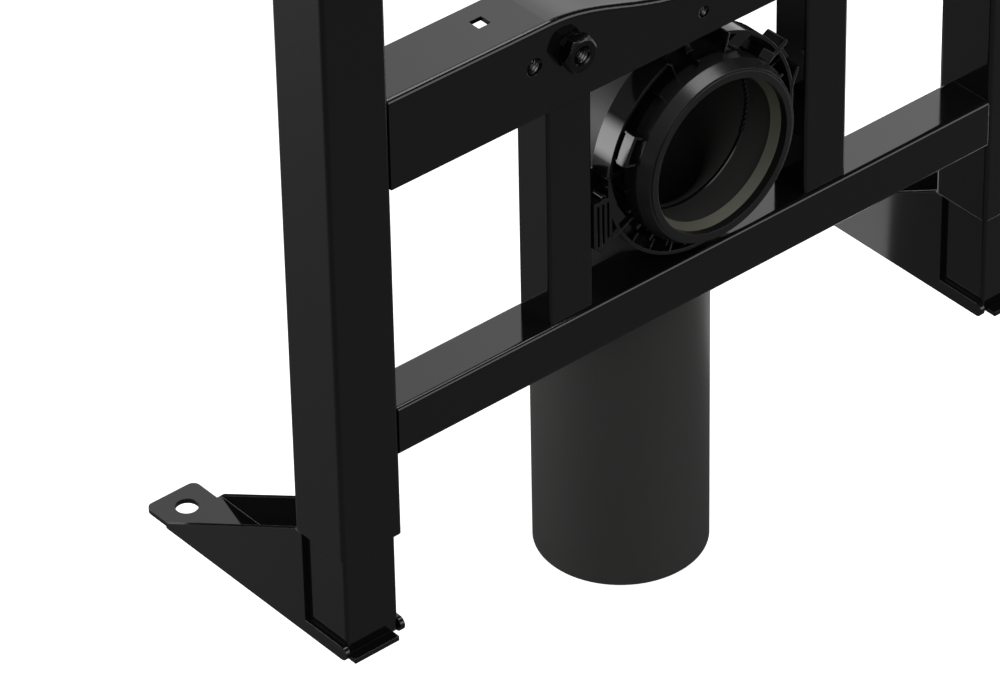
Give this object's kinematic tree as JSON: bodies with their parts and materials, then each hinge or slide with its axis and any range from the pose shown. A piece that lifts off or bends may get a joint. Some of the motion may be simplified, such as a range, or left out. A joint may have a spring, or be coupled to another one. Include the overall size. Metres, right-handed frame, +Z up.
{
  "type": "wall hung toilet frame",
  "caption": "Black steel frame with telescopic legs and folded feet, a fixing crossbar with threaded bushes, and a waste bend held in a moulded ring between two posts.",
  "frame": {"origin": "on the underside of the left foot, under the left leg's axis", "axes": "+X to the right, +Y back to the wall, +Z up"},
  "size_m": [0.5, 0.1888, 1.204],
  "materials": {
    "black_steel": "semi-gloss black powder coat",
    "fixings": "black passivated zinc",
    "black_plastic": "moulded, satin",
    "pipe_plastic": "extruded polyethylene",
    "collar_plastic": "moulded, satin",
    "seal_rubber": "smooth olive grey"
  },
  "bodies": {
    "left_leg": {"left_foot": "black_steel", "left_leg": "black_steel"},
    "frame": {"left_upright": "black_steel", "left_post": "black_steel", "left_stud_bush": "fixings", "left_weld_nut": "fixings", "left_cap": "black_plastic", "right_upright": "black_steel", "right_post": "black_steel", "right_stud_bush": "fixings", "right_weld_nut": "fixings", "right_cap": "black_plastic", "lower_rail": "black_steel", "top_rail": "black_steel", "fixing_crossbar": "black_steel", "centre_weld_nut": "fixings", "waste_bend": "pipe_plastic", "socket_collar": "collar_plastic", "lip_seal": "seal_rubber", "upper_clamp": "black_plastic", "lower_clamp": "black_plastic", "left_ear_screw": "fixings", "right_ear_screw": "fixings"},
    "right_leg": {"right_foot": "black_steel", "right_leg": "black_steel"}
  },
  "joints": [
    {"name": "left_leg_slide", "type": "slide", "parent": "left_leg", "child": "frame", "axis": [0, 0, 1], "range_m": [0, 0.2]},
    {"name": "right_leg_slide", "type": "slide", "parent": "frame", "child": "right_leg", "axis": [0, 0, -1], "range_m": [0, 0.2]}
  ]
}
